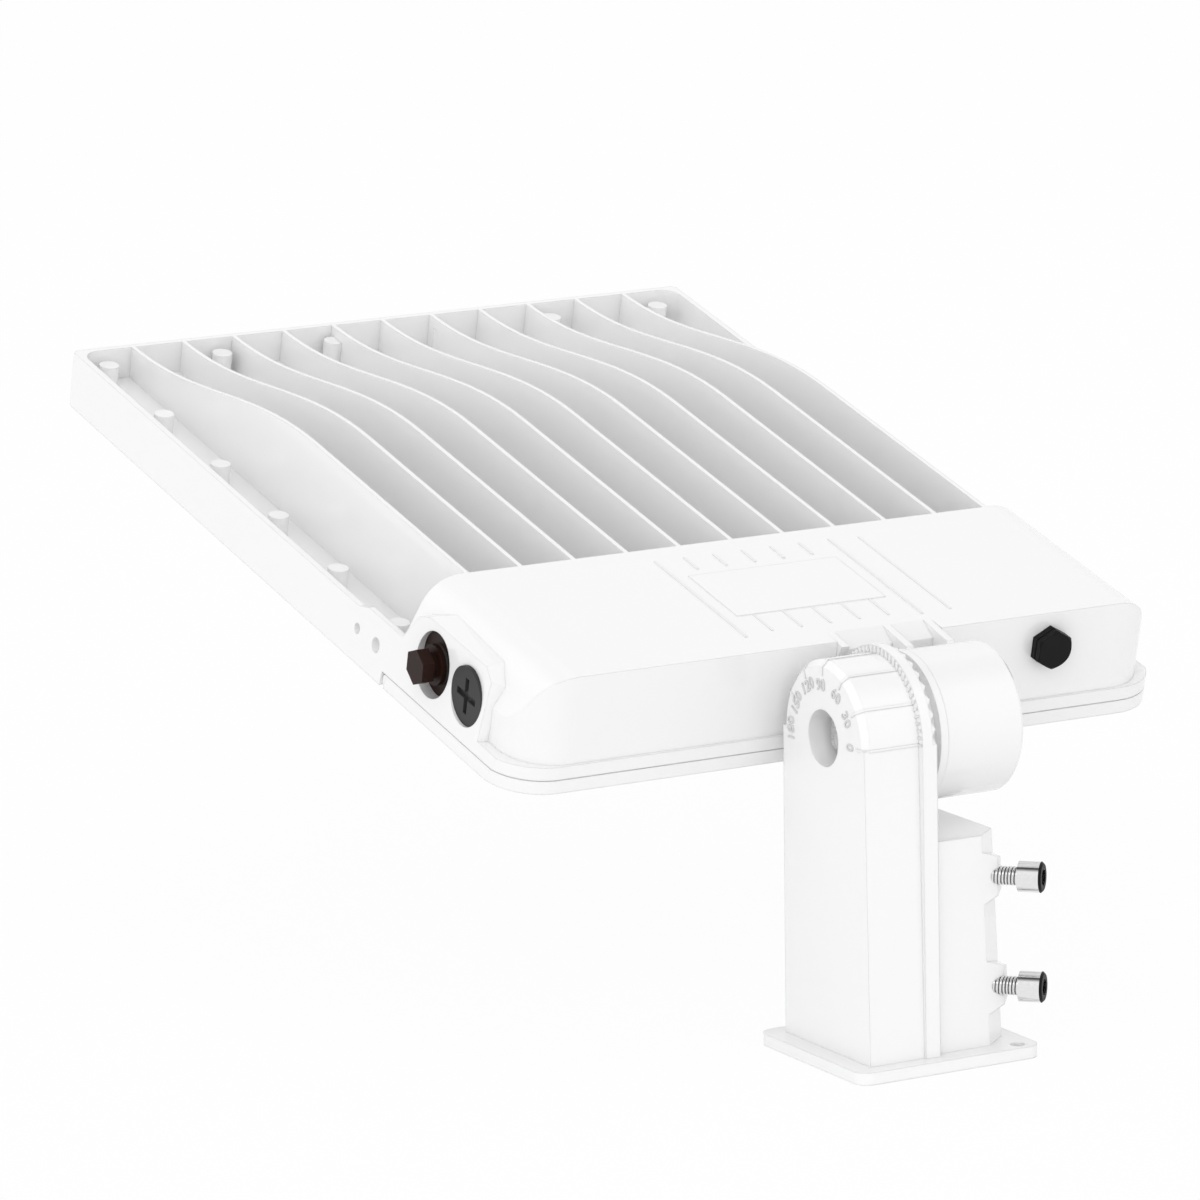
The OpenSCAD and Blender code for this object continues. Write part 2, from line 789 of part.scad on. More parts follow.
module casting_holes() {
    rod_x(-plate_left, plate_left + arm_left + drum_web + over, bolt_r + run_gap);
    rod_x(arm_left + drum_web, drum_x, drum_bore_r);
    rod_x(drum_x - cap_t, cap_t + over, drum_bore_r + cap_lip);
    for (x = post_columns, y = post_rows) translate([x, y, parting_z - over])
        cylinder(h = lens_screw_l + over - (parting_z - lens_low_z) + seat_gap, r = lens_screw_r + run_gap);
    for (side = [-1, 1]) translate([side * door_screw_x, door_screw_y, parting_z - over])
        cylinder(h = door_screw_grip + 2 * over, r = door_screw_r + seat_gap + 2 * run_gap);
    for (side = [-1, 1]) translate([side * hinge_x - hinge_pin_l, hinge_y, hinge_z])
        rod_x(0, 2 * hinge_pin_l, hinge_pin_r + run_gap / 2);
    translate([0, side_hole_y, side_hole_z]) rod_x(-rim_w, rim_w / 2 + well_wall, side_hole_r);
    translate([0, side_pilot_y, side_hole_z]) rod_x(-rim_w, rim_w / 2 + well_wall, side_pilot_r);
    translate([0, sensor_port_y, sensor_port_z]) {
        rod_x(-rim_w, rim_w - port_face + port_recess, sensor_port_r);
        rod_x(-rim_w, rim_w - pad_inner_x + over, port_bore_r);
    }
    translate([0, switch_port_y, switch_port_z]) {
        rod_x(-rim_w, rim_w - port_face + port_recess, switch_port_r + run_gap);
        rod_x(-rim_w, rim_w - pad_inner_x + over, port_bore_r);
    }
    translate([vent_x, 0, vent_z]) rotate([-90, 0, 0]) cylinder(h = rear_y + 2 * wall, r = vent_thread_r + run_gap);
}

module drum_cap() {
    color(head_white) in_head() union() {
        rod_x(drum_x - cap_t, cap_t, drum_bore_r + cap_lip - run_gap);
        difference() {
            rod_x(drum_x - 2 * cap_t, cap_t + over, drum_bore_r - run_gap);
            rod_x(drum_x - 2 * cap_t - over, cap_t + over, drum_bore_r - cap_t);
        }
    }
}

// Optics.
module screw_holes(z, length, r) {
    for (x = post_columns, y = post_rows) translate([x, y, z]) cylinder(h = length, r = r);
}

module led_board() {
    color("whitesmoke") in_head() difference() {
        slab(board_z, parting_z) optic_plan(seat_gap);
        screw_holes(board_z - over, board_t + 2 * over, lens_screw_r + seat_gap);
    }
}

// Calls its children once at each lens place.
module at_domes() {
    pitch_x = post_pitch_x * (post_count - 1) / dome_count;
    pitch_y = post_pitch_y * (post_count - 1) / dome_count;
    tail = nose_y - post_nose_gap - post_pitch_y * (post_count - 1);
    for (i = [0 : dome_count - 1], j = [0 : dome_count - 1])
        translate([(i - (dome_count - 1) / 2) * pitch_x, tail + (j + 0.5) * pitch_y, 0]) children();
}

module led_chips() {
    color("khaki") in_head() at_domes() translate([-chip_w / 2, -chip_w / 2, board_z - chip_t])
        cube([chip_w, chip_w, chip_t]);
}

module lens_gasket() {
    color("dimgray") in_head() slab(lens_top_z, board_z) difference() {
        optic_plan(seat_gap);
        optic_plan(seat_gap + lens_gasket_w);
        for (x = post_columns, y = post_rows) translate([x, y]) circle(r = lens_screw_r + seat_gap);
    }
}

module lens_plate() {
    dome_ball = (dome_r * dome_r + dome_h * dome_h) / (2 * dome_h);
    color("azure") in_head() difference() {
        union() {
            slab(lens_low_z, lens_top_z) optic_plan(seat_gap);
            intersection() {
                slab(lens_low_z - dome_h - over, lens_low_z + over / 2) optic_plan(seat_gap);
                at_domes() translate([0, 0, lens_low_z - dome_h + dome_ball]) sphere(r = dome_ball);
            }
        }
        screw_holes(lens_low_z - over, lens_t + 2 * over, lens_screw_r + seat_gap);
    }
}

module lens_screws() {
    color("silver") in_head() for (x = post_columns, y = post_rows) translate([x, y, lens_low_z]) {
        cylinder(h = lens_screw_l, r = lens_screw_r);
        translate([0, 0, -lens_screw_head_t]) cylinder(h = lens_screw_head_t, r = lens_screw_head_r);
    }
}

// Inside the driver box.
module driver() {
    color("slategray") in_head() difference() {
        union() {
            translate([driver_x, driver_y, roof_z - driver_h]) cube([driver_l, driver_w, driver_h]);
            translate([driver_x - driver_ear, driver_y + driver_w / 4, roof_z - driver_ear_t])
                cube([driver_l + 2 * driver_ear, driver_w / 2, driver_ear_t]);
        }
        for (x = driver_screw_places()) translate([x, driver_y + driver_w / 2, roof_z - driver_ear_t - over])
            cylinder(h = driver_ear_t + 2 * over, r = driver_screw_r + seat_gap);
    }
}

function driver_screw_places() = [driver_x - driver_ear / 2, driver_x + driver_l + driver_ear / 2];

module driver_screws() {
    color("silver") in_head() for (x = driver_screw_places())
        translate([x, driver_y + driver_w / 2, roof_z - driver_ear_t]) {
            cylinder(h = driver_ear_t, r = driver_screw_r);
            translate([0, 0, -driver_ear_t]) cylinder(h = driver_ear_t, r = 2 * driver_screw_r);
        }
}

module surge_protector() {
    color("firebrick") in_head() union() {
        translate([surge_x, surge_y, roof_z - surge_h]) cube([surge_l, surge_w, surge_h]);
        translate([surge_x + surge_l / 2, surge_y + surge_w / 2, roof_z - surge_h - over])
            cylinder(h = surge_h, r = surge_l / 3);
    }
}

module terminal_block() {
    way = block_l / block_ways;
    color("ivory") in_head() difference() {
        translate([block_x, block_y, roof_z - block_h]) cube([block_l, block_w, block_h]);
        for (i = [0 : block_ways - 1])
            translate([block_x + (i + 0.5) * way, block_y + block_w / 2, roof_z - block_h - over])
                cylinder(h = block_h / 2, r = way / 3);
    }
}

module sensor_socket() {
    color("saddlebrown") in_head() translate([0, sensor_port_y, sensor_port_z]) difference() {
        union() {
            rod_x(-port_face + port_recess - cap_lip, cap_lip, sensor_port_r - run_gap);
            rod_x(-port_face + port_recess - over, port_face - port_recess - pad_inner_x + socket_l,
                port_bore_r - run_gap);
        }
        rod_x(-rim_w, rim_w - pad_inner_x + run_gap, plug_thread_r + run_gap);
    }
}

module sensor_port_oring() {
    start = -port_face + port_recess - cap_lip - oring_t;
    color("black") in_head() translate([0, sensor_port_y, sensor_port_z]) difference() {
        rod_x(start, oring_t, plug_thread_r + 2 * oring_t);
        rod_x(start - over, oring_t + 2 * over, plug_thread_r + run_gap);
    }
}

module sensor_port_plug() {
    color("sienna") in_head() translate([0, sensor_port_y, sensor_port_z]) union() {
        hex_x(-port_face - plug_stand, plug_hex_t, plug_hex_af);
        rod_x(-port_face - plug_stand + plug_hex_t - over, plug_stand + port_recess - plug_hex_t, plug_neck_r);
        rod_x(-port_face + port_recess - cap_lip - 3 * oring_t, 2 * oring_t - run_gap, plug_thread_r + 2 * oring_t);
        rod_x(-port_face + port_recess - cap_lip - 2 * oring_t, port_face - port_recess - pad_inner_x, plug_thread_r);
    }
}

module switch_port_oring() {
    color("black") in_head() translate([0, switch_port_y, switch_port_z]) difference() {
        rod_x(-port_face + port_recess - oring_t, oring_t, switch_port_r - oring_t);
        rod_x(-port_face - over, port_recess + 2 * over, port_bore_r - run_gap);
    }
}

module switch_port_plug() {
    color("dimgray") in_head() translate([0, switch_port_y, switch_port_z]) difference() {
        union() {
            rod_x(-port_face - seat_gap, port_recess + seat_gap - oring_t - run_gap, switch_port_r);
            rod_x(-port_face, port_recess + plug_hex_t, port_bore_r - 2 * run_gap);
        }
        for (turn = [0, 90]) rotate([turn, 0, 0])
            translate([-port_face - seat_gap - over, -slot_w / 2, -slot_l / 2])
                cube([slot_depth + over, slot_w, slot_l]);
    }
}

// The plate that hangs from the roof and carries the selector.
module switch_bracket() {
    plate_x = -pad_inner_x + knob_t + switch_l + over;
    color("silver") in_head() difference() {
        union() {
            translate([plate_x, switch_port_y - switch_w / 2, switch_port_z - switch_w / 2])
                cube([bracket_t, switch_w, roof_z - switch_port_z + switch_w / 2]);
            translate([plate_x, switch_port_y - switch_w / 2, roof_z - bracket_t])
                cube([switch_w, switch_w, bracket_t]);
        }
        translate([plate_x + switch_w / 2 + bracket_t, switch_port_y, roof_z - bracket_t - over])
            cylinder(h = bracket_t + 2 * over, r = driver_screw_r);
    }
}

module selector_switch() {
    color("black") in_head() translate([0, switch_port_y, switch_port_z]) difference() {
        translate([-pad_inner_x + knob_t + over, -switch_w / 2, -switch_w / 2])
            cube([switch_l, switch_w, switch_w]);
        rod_x(-pad_inner_x, knob_t + switch_l / 2, knob_r / 2 + run_gap);
    }
}

module selector_knob() {
    color("red") in_head() translate([0, switch_port_y, switch_port_z]) difference() {
        union() {
            rod_x(-pad_inner_x + seat_gap, knob_t, knob_r);
            rod_x(-pad_inner_x + knob_t, switch_l / 2 - over, knob_r / 2);
        }
        translate([-pad_inner_x, -slot_w / 2, -knob_r - over])
            cube([slot_depth, slot_w, 2 * (knob_r + over)]);
    }
}

// The hexagon breather plug on the rear wall.
module vent_plug() {
    color("black") in_head() translate([vent_x, rear_y, vent_z]) rotate([90, 0, 0]) union() {
        rotate([0, 0, 30]) cylinder(h = vent_layer, r = vent_af / sqrt(3), $fn = 6);
        cylinder(h = vent_layer + vent_waist + over, r = vent_af / 2 - vent_waist);
        translate([0, 0, vent_layer + vent_waist]) intersection() {
            rotate([0, 0, 30]) cylinder(h = vent_layer, r = vent_af / sqrt(3), $fn = 6);
            cylinder(h = vent_layer, r1 = vent_af / 2 + vent_layer, r2 = vent_af / 2);
        }
        translate([0, 0, -vent_l]) cylinder(h = vent_l + over, r = vent_thread_r);
    }
}

module vent_oring() {
    color("black") in_head() translate([vent_x, rear_y + wall, vent_z]) rotate([-90, 0, 0]) difference() {
        cylinder(h = oring_t, r = vent_af / 2);
        translate([0, 0, -over]) cylinder(h = oring_t + 2 * over, r = vent_thread_r + run_gap);
    }
}

module vent_nut() {
    color("silver") in_head() translate([vent_x, rear_y + wall + oring_t, vent_z]) rotate([-90, 0, 0])
        difference() {
            cylinder(h = vent_nut_t, r = vent_af / sqrt(3), $fn = 6);
            translate([0, 0, -over]) cylinder(h = vent_nut_t + 2 * over, r = vent_thread_r + run_gap);
        }
}

// Door under the driver box, hinged along its front edge.
module driver_door() {
    color(head_white) in_head() difference() {
        union() {
            intersection() {
                slab(sole_z, door_top_z) tail_plan(0, hinge_y);
                cross_cut(lip_y - over, hinge_y) side_profile(rim_z);
            }
            translate([0, hinge_y, hinge_z]) rod_x(-half_at(sole_z) + over, 2 * half_at(sole_z) - 2 * over, hinge_r);
        }
        slab(sole_z + door_skin, door_top_z + over) tail_plan(door_rim, hinge_y - door_rim);
        slab(door_top_z - gasket_t, door_top_z + over) gasket_plan(seat_gap / 2);
        for (side = [-1, 1], ear = [-1, 1])
            translate([side * hinge_x + ear * hinge_ear_at - hinge_ear_t / 2 - notch_gap,
                hinge_y - hinge_r - notch_gap, sole_z - over])
                cube([hinge_ear_t + 2 * notch_gap, 3 * hinge_r, door_top_z - sole_z + 2 * over]);
        for (side = [-1, 1]) translate([side * hinge_x - hinge_pin_l, hinge_y, hinge_z])
            rod_x(0, 2 * hinge_pin_l, hinge_pin_r + run_gap);
        for (side = [-1, 1]) translate([side * door_screw_x, door_screw_y, sole_z - over]) {
            cylinder(h = door_top_z - sole_z + 2 * over, r = door_screw_r + run_gap);
            cylinder(h = door_screw_head_t + over, r = door_screw_head_r + seat_gap);
        }
    }
}

module gasket_plan(grow) {
    difference() {
        tail_plan(gasket_in - grow, hinge_y - hinge_r - notch_gap - over + grow);
        tail_plan(gasket_in + gasket_w + grow, hinge_y - hinge_r - notch_gap - over - gasket_w - grow);
    }
}

module door_gasket() {
    color("dimgray") in_head() slab(door_top_z - gasket_t, parting_z - run_gap) gasket_plan(0);
}

module door_screws() {
    color("silver") in_head() for (side = [-1, 1])
        translate([side * door_screw_x, door_screw_y, sole_z]) {
            cylinder(h = door_screw_head_t, r = door_screw_head_r);
            cylinder(h = parting_z - sole_z + door_screw_grip, r = door_screw_r);
        }
}

module hinge_pins() {
    color("silver") in_head() for (side = [-1, 1])
        translate([side * hinge_x - hinge_pin_l / 2, hinge_y, hinge_z]) rod_x(0, hinge_pin_l, hinge_pin_r);
}

slip_fitter();
wire_grommet();
pivot_bolt();
pivot_head_washer();
pivot_nut_washer();
pivot_nut();
tenon_screw_rear_upper();
tenon_screw_rear_lower();
tenon_screw_front_upper();
tenon_screw_front_lower();
head_casting();
drum_cap();
led_board();
led_chips();
lens_gasket();
lens_plate();
lens_screws();
driver();
driver_screws();
surge_protector();
terminal_block();
sensor_socket();
sensor_port_oring();
sensor_port_plug();
switch_port_oring();
switch_port_plug();
switch_bracket();
selector_switch();
selector_knob();
vent_plug();
vent_oring();
vent_nut();
driver_door();
door_gasket();
door_screws();
hinge_pins();
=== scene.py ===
# %% [markdown]
# # An outdoor area light on its slip fitter
#
# The light is a flat cast head with fins, tilted on a toothed drum above a tower that slides over a pole.
# The solids come packed from CAD, one mesh for each piece, and this file gives them their finishes, adds
# the small things that a casting carries, and sets up the picture. Everything is in metres, with Z up.

# %% Load the imported model
import json
import math

import bpy
from mathutils import Matrix, Vector


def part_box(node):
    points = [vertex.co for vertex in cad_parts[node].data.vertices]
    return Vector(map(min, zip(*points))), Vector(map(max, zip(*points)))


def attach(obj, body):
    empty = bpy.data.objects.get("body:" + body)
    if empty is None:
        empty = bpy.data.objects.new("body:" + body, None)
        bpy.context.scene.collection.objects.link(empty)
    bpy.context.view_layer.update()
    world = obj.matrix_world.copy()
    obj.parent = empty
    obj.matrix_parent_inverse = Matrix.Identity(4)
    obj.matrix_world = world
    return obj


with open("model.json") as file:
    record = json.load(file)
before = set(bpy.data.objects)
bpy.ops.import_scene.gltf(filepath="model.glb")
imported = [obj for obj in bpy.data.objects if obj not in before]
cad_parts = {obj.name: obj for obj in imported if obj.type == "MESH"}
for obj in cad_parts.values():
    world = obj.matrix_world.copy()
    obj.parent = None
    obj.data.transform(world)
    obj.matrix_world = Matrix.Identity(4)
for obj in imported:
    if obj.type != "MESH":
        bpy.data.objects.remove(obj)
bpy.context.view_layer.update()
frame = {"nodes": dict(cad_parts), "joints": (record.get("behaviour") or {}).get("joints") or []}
nodes = frame["nodes"]
print("pieces from CAD:", len(nodes))

# %% [markdown]
# The head is drawn level about its tilt axis and then tilted. A point measured on the level head is turned
# by the same angle here, so that the small pieces land on the head however it is set. The tilt axis and its
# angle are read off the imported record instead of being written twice.

# %% The tilt axis and points on the head
MM = 0.001
tilt_joint = [j for j in frame["joints"] if j["name"] == "head_tilt"][0]
axis_point = Vector(tilt_joint["pos_m"])
tilt = -math.radians(tilt_joint["range_deg"][0])
head_place = Matrix.Translation(axis_point) @ Matrix.Rotation(tilt, 4, "X")
axis_place = Matrix.Translation(axis_point)
print("tilt axis", tuple(round(c, 3) for c in axis_point), "tilt", round(math.degrees(tilt), 1))

# %% [markdown]
# The camera stands a little over three metres off with a long lens, which keeps the sides of the head
# nearly parallel. Its place, its direction and its lens were found by matching edges of the solids with
# edges in the photograph, and the middle of the picture is the middle of the lens.

# %% Camera
PICTURE = 1200
SENSOR = 36
CAMERA_PLACE = (-1.6557, -2.7384, 0.8584)
FOCAL_PIXELS = 7362.5
azimuth, elevation, roll = (math.radians(angle) for angle in (-28.824, 11.485, -1.188))
back = Vector((math.sin(azimuth) * math.cos(elevation), -math.cos(azimuth) * math.cos(elevation),
               math.sin(elevation)))
level = (-back).cross(Vector((0, 0, 1))).normalized()
upright = level.cross(-back)
right = level * math.cos(roll) + upright * math.sin(roll)
up = upright * math.cos(roll) - level * math.sin(roll)
camera_data = bpy.data.cameras.new("camera")
camera_data.sensor_width = SENSOR
camera_data.lens = SENSOR * FOCAL_PIXELS / PICTURE
camera_data.clip_end = 50
camera = bpy.data.objects.new("camera", camera_data)
turn = Matrix((right, up, back)).transposed().to_4x4()
camera.matrix_world = Matrix.Translation(CAMERA_PLACE) @ turn
bpy.context.scene.collection.objects.link(camera)
bpy.context.scene.camera = camera
print("camera at", tuple(round(c, 3) for c in CAMERA_PLACE), "lens", round(camera_data.lens, 1))

# %% [markdown]
# A finish is a small graph of nodes. Writing one as a Python expression reads better than wiring it by
# hand, so a socket gets the usual operators here, and each operator adds a Math node. Everything else
# comes from one method that takes the kind of node, its settings and its sockets. The sockets of a Mix
# node share their names, so they are told apart by number.

# %% A small language for finishes
OBJECT_COORDINATES = 3
MIX_SHARE, MIX_FIRST, MIX_SECOND, MIX_COLOUR = 0, 6, 7, 2


class Value:
    def __init__(self, sheet, socket):
        self.sheet, self.socket = sheet, socket

    def maths(self, operation, a, b):
        return self.sheet.node("ShaderNodeMath", {"operation": operation}, {0: a, 1: b})

    def __add__(self, other):
        return self.maths("ADD", self, other)

    def __radd__(self, other):
        return self.maths("ADD", other, self)

    def __mul__(self, other):
        return self.maths("MULTIPLY", self, other)

    def __rmul__(self, other):
        return self.maths("MULTIPLY", other, self)


class Finish:
    def __init__(self, name):
        self.material = bpy.data.materials.new(name)
        self.material.use_nodes = True
        self.tree = self.material.node_tree
        self.shader = self.tree.nodes["Principled BSDF"]

    def node(self, kind, settings=None, sockets=None, out=0):
        made = self.tree.nodes.new(kind)
        for key, setting in (settings or {}).items():
            setattr(made, key, setting)
        for key, value in (sockets or {}).items():
            self.put(made.inputs[key], value)
        return Value(self, made.outputs[out])

    def put(self, socket, value):
        if isinstance(value, Value):
            self.tree.links.new(value.socket, socket)
        else:
            socket.default_value = value

    def place(self):
        return self.node("ShaderNodeTexCoord", out=OBJECT_COORDINATES)

    def noise(self, scale, detail=2.0):
        return self.node("ShaderNodeTexNoise", {}, {"Vector": self.place(), "Scale": scale, "Detail": detail})

    def mix(self, share, first, second):
        sockets = {MIX_SHARE: share, MIX_FIRST: first, MIX_SECOND: second}
        return self.node("ShaderNodeMix", {"data_type": "RGBA"}, sockets, out=MIX_COLOUR)

    def bump(self, height, distance, strength=1.0, normal=None):
        sockets = {"Height": height, "Distance": distance, "Strength": strength}
        if normal:
            sockets["Normal"] = normal
        return self.node("ShaderNodeBump", {}, sockets)

    def surface(self, **sockets):
        for key, value in sockets.items():
            self.put(self.shader.inputs[key.replace("_", " ")], value)
        return self.material


def grey(level):
    return (level, level, level, 1)


print("finishes are written as expressions")

# %% [markdown]
# The castings wear a white powder coat. Powder flows a little when it is baked, which leaves a faint
# orange peel and rounds every sharp edge. The peel is a fine noise behind a bump. The rounded edges come
# from a Bevel node under that bump, which is far lighter than a modelled fillet on every fin.

# %% Powder coat
def powder_coat(name, shade, edge):
    finish = Finish(name)
    cloudy = finish.noise(9.0, 3.0)
    peel = finish.noise(650.0, 1.0)
    rounded = finish.node("ShaderNodeBevel", {"samples": 4}, {"Radius": edge})
    return finish.surface(
        Base_Color=finish.mix(cloudy, grey(shade - 0.012), grey(shade + 0.012)),
        Roughness=0.3 + 0.1 * cloudy,
        Coat_Weight=0.85,
        Coat_Roughness=0.035,
        Normal=finish.bump(peel, 0.00006, 0.2, rounded),
    )


head_coat = powder_coat("head_coat", 0.9, 0.0009)
tower_coat = powder_coat("tower_coat", 0.91, 0.0011)
# The numbers of the tilt scale are the same white paint as the tower; their darker grey is painted shade.
digit_shade_coat = powder_coat("digit_shade_coat", 0.66, 0.0002)
print("powder coats:", head_coat.name, tower_coat.name, digit_shade_coat.name)

# %% [markdown]
# The screws are bright plated steel. Plating is never quite even, so the roughness wanders, and fine
# marks from turning run across the surface as a stretched noise.

# %% Bright steel
def bright_steel(name, shade, roughness):
    finish = Finish(name)
    stretched = finish.node("ShaderNodeMapping", {}, {"Vector": finish.place(), "Scale": (30.0, 900.0, 900.0)})
    marks = finish.node("ShaderNodeTexNoise", {}, {"Vector": stretched, "Scale": 1.0, "Detail": 2.0})
    return finish.surface(
        Base_Color=finish.mix(marks, grey(shade * 0.88), grey(shade)),
        Metallic=1.0,
        Roughness=roughness + 0.12 * marks,
        Normal=finish.bump(marks, 0.00002, 0.3),
    )


steel = bright_steel("bright_steel", 0.84, 0.05)
zinc = bright_steel("zinc_plate", 0.74, 0.22)
# The dark steel below is painted shade: it colours the valleys of the screw threads, where only shadow falls.
shaded = bright_steel("valley_shade_steel", 0.12, 0.25)
print("metals:", steel.name, zinc.name, shaded.name)

# %% [markdown]
# Plugs, gaskets and the electrical pieces are moulded. Each is one colour that drifts slightly, with the
# fine grain of an eroded mould, so one function serves them all and its numbers tell them apart.

# %% Moulded plastic and rubber
MOULD_EDGE = 0.0003
MOULD_GRAIN_DEPTH = 0.00005


def moulded(name, dark, light, roughness, grain=2000.0, shine=0.5):
    finish = Finish(name)
    drift = finish.noise(40.0, 2.0)
    erosion = finish.noise(grain, 2.0)
    rounded = finish.node("ShaderNodeBevel", {"samples": 4}, {"Radius": MOULD_EDGE})
    return finish.surface(
        Base_Color=finish.mix(drift, dark, light),
        Roughness=roughness - 0.06 + 0.12 * erosion,
        Specular_IOR_Level=shine,
        Normal=finish.bump(erosion, MOULD_GRAIN_DEPTH, 0.4, rounded),
    )


black_nylon = moulded("black_nylon", grey(0.004), grey(0.009), 0.45, shine=0.12)
charcoal_nylon = moulded("charcoal_nylon", grey(0.038), grey(0.05), 0.5, shine=0.15)
brown_nylon = moulded("brown_nylon", (0.016, 0.006, 0.004, 1), (0.026, 0.011, 0.008, 1), 0.4, shine=0.1)
seal_rubber = moulded("seal_rubber", grey(0.03), grey(0.05), 0.7)
red_plastic = moulded("red_plastic", (0.42, 0.02, 0.015, 1), (0.5, 0.03, 0.02, 1), 0.35)
ivory_plastic = moulded("ivory_plastic", (0.72, 0.69, 0.6, 1), (0.78, 0.75, 0.67, 1), 0.45)
driver_case = moulded("driver_case", grey(0.3), grey(0.36), 0.42, grain=800.0)
board_white = moulded("board_white", grey(0.74), grey(0.8), 0.5)
phosphor = moulded("phosphor", (0.82, 0.56, 0.05, 1), (0.88, 0.64, 0.1, 1), 0.6)
print("moulded finishes from", black_nylon.name, "to", phosphor.name)

# %% [markdown]
# The lens plate is clear polycarbonate over a white board. It lets most light through, so the chips glow
# yellow beneath their domes. Alpha gives that see-through look and still survives an export.

# %% Lens plastic
lens_finish = Finish("lens_clear")
haze = lens_finish.noise(120.0, 2.0)
lens_clear = lens_finish.surface(
    Base_Color=lens_finish.mix(haze, (0.86, 0.9, 0.92, 1), (0.9, 0.93, 0.94, 1)),
    Roughness=0.03 + 0.05 * haze,
    Alpha=0.2,
    Normal=lens_finish.bump(haze, 0.00002, 0.2),
)
print("lens:", lens_clear.name)

# %% [markdown]
# Each CAD piece now swaps its plain import colour for the finish of the real piece.

# %% Dress the CAD pieces
dressing = {
    head_coat: ["head_casting", "drum_cap", "driver_door"],
    tower_coat: ["slip_fitter"],
    steel: ["tenon_screw_rear_upper", "tenon_screw_rear_lower", "tenon_screw_front_upper",
            "tenon_screw_front_lower", "lens_screws", "door_screws"],
    zinc: ["pivot_bolt", "pivot_head_washer", "pivot_nut_washer", "pivot_nut", "driver_screws",
           "switch_bracket", "vent_nut", "hinge_pins"],
    black_nylon: ["vent_plug", "selector_switch"],
    charcoal_nylon: ["switch_port_plug"],
    brown_nylon: ["sensor_port_plug", "sensor_socket"],
    seal_rubber: ["wire_grommet", "lens_gasket", "sensor_port_oring", "switch_port_oring", "vent_oring",
                  "door_gasket"],
    red_plastic: ["surge_protector", "selector_knob"],
    ivory_plastic: ["terminal_block"],
    driver_case: ["driver"],
    board_white: ["led_board"],
    phosphor: ["led_chips"],
    lens_clear: ["lens_plate"],
}
for finish, names in dressing.items():
    for name in names:
        nodes[name].data.materials.clear()
        nodes[name].data.materials.append(finish)
print("dressed", sum(len(names) for names in dressing.values()), "of", len(nodes))

# %% [markdown]
# Small pieces are made in their own space and then set in place. The vertices are moved and the object
# itself stays at the origin, so a pattern in object space lies still on every piece.

# %% Making and placing a piece
def piece(name, mesh, place, body, finish):
    mesh.transform(place)
    mesh.materials.clear()
    mesh.materials.append(finish)
    made = bpy.data.objects.new(name, mesh)
    bpy.context.scene.collection.objects.link(made)
    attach(made, body)


def plain_mesh(source):
    bpy.context.view_layer.update()
    graph = bpy.context.evaluated_depsgraph_get()
    mesh = bpy.data.meshes.new_from_object(source.evaluated_get(graph))
    bpy.data.objects.remove(source)
    return mesh


print("pieces are placed by their vertices")

# %% [markdown]
# The tilt scale is cast into the tower: small raised numbers that follow the arch, with their tops
# outwards. They are the tower's own white paint, and their darker grey coat is painted shade for the
# shadows around them. They are text, thickened and made into a mesh before being placed. Each row of the
# list is a number with its place in millimetres from the tilt axis.

# %% Numbers of the tilt scale
scale_numbers = [(0, -22.9, 0.0), (30, -20.2, 11.9), (60, -11.6, 20.9), (90, 1.3, 23.7), (120, 12.5, 21.3),
                 (150, 22.4, 11.9), (180, 27.4, -0.6)]
FACE_X = -37.5
DIGIT_SIZE = 7.4
DIGIT_RAISE = 0.55
DIGIT_FATTEN = 0.1
for number, y, z in scale_numbers:
    text = bpy.data.curves.new(f"number_{number}", "FONT")
    text.body = str(number)
    text.size = DIGIT_SIZE * MM
    text.space_character = 1.05
    text.align_x, text.align_y = "CENTER", "CENTER"
    text.extrude = DIGIT_RAISE * MM
    text.offset = DIGIT_FATTEN * MM
    holder = bpy.data.objects.new(f"number_{number}", text)
    bpy.context.scene.collection.objects.link(holder)
    mesh = plain_mesh(holder)
    out = Vector((0, y, z)).normalized()
    along = Vector((1, 0, 0)).cross(out)
    stand = Matrix((along, out, (-1, 0, 0))).transposed().to_4x4()
    place = axis_place @ Matrix.Translation((FACE_X * MM, y * MM, z * MM)) @ stand
    piece(f"scale_number_{number}", mesh, place, "mount", digit_shade_coat)
print("scale numbers:", len(scale_numbers))

# %% [markdown]
# A thread is a ridge that follows a helix. Geometry Nodes can draw one from its sizes: a spiral curve
# gets a four-sided profile, and the tree ends in a material, so the same tree serves all four screws.

